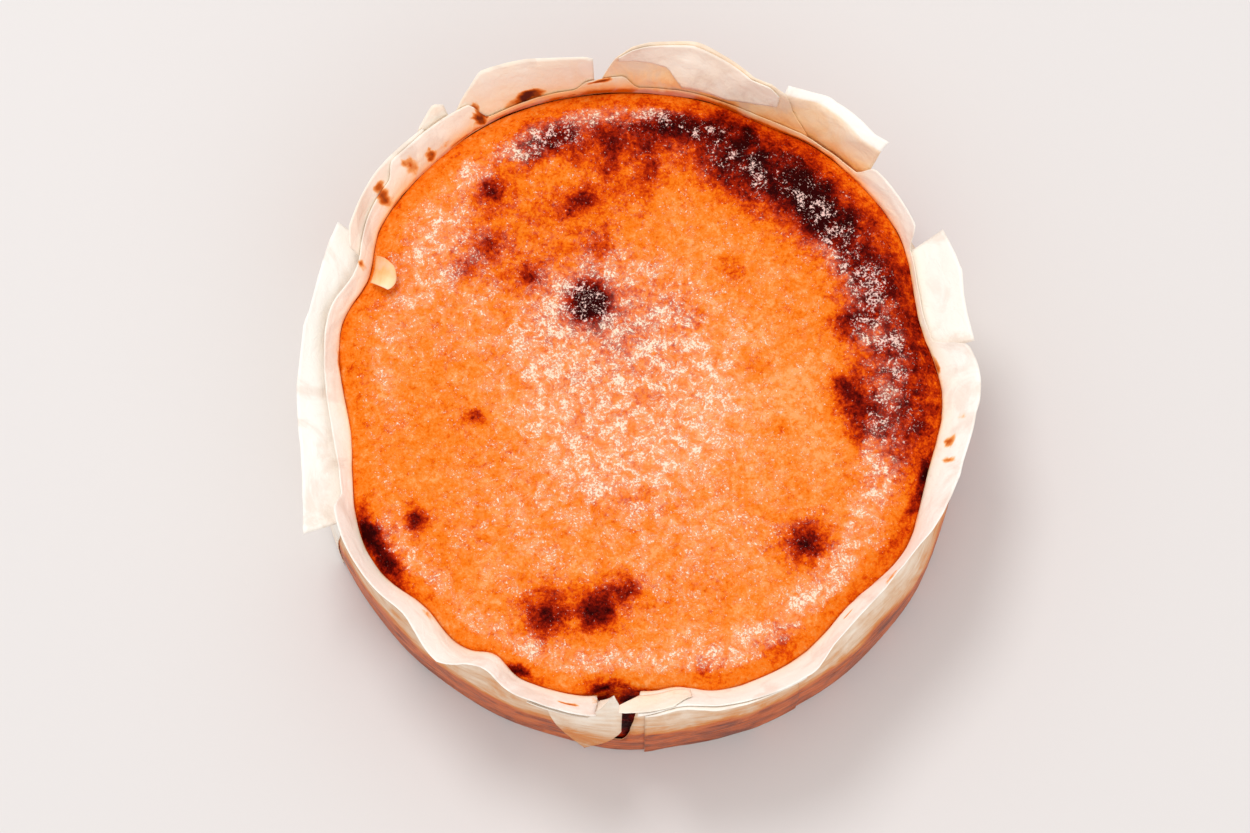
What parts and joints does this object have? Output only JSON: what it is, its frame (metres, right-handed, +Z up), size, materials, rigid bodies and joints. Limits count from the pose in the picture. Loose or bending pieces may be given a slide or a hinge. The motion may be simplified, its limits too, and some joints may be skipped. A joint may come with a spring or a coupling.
{
  "type": "burnt cheesecake in parchment",
  "caption": "Whole round burnt-top cheesecake with a sunken middle, in a flaring parchment case with loose overlapping paper strips.",
  "frame": {"origin": "centre of the cake's base, on the surface that it stands on", "axes": "+Z up out of the crust; +X to the picture's right; -Y towards the viewer, where the paper is split"},
  "size_m": [0.2032, 0.2033, 0.0764],
  "materials": {
    "crust": "browned custard crust, slightly glossy",
    "greased_paper": "greaseproof paper, stained with butter",
    "dry_paper": "matt white baking paper"
  },
  "bodies": {
    "root": {"cheesecake": "crust", "case": "greased_paper", "strip_left": "dry_paper", "strip_back_left": "dry_paper", "tab_back_left": "dry_paper", "strip_back": "dry_paper", "strip_back_right": "dry_paper", "fold_back": "dry_paper", "strip_right_back": "dry_paper", "strip_right": "dry_paper", "strip_front_left": "dry_paper", "strip_front_right": "dry_paper", "fold_front": "dry_paper", "curl_left": "dry_paper"}
  },
  "joints": []
}
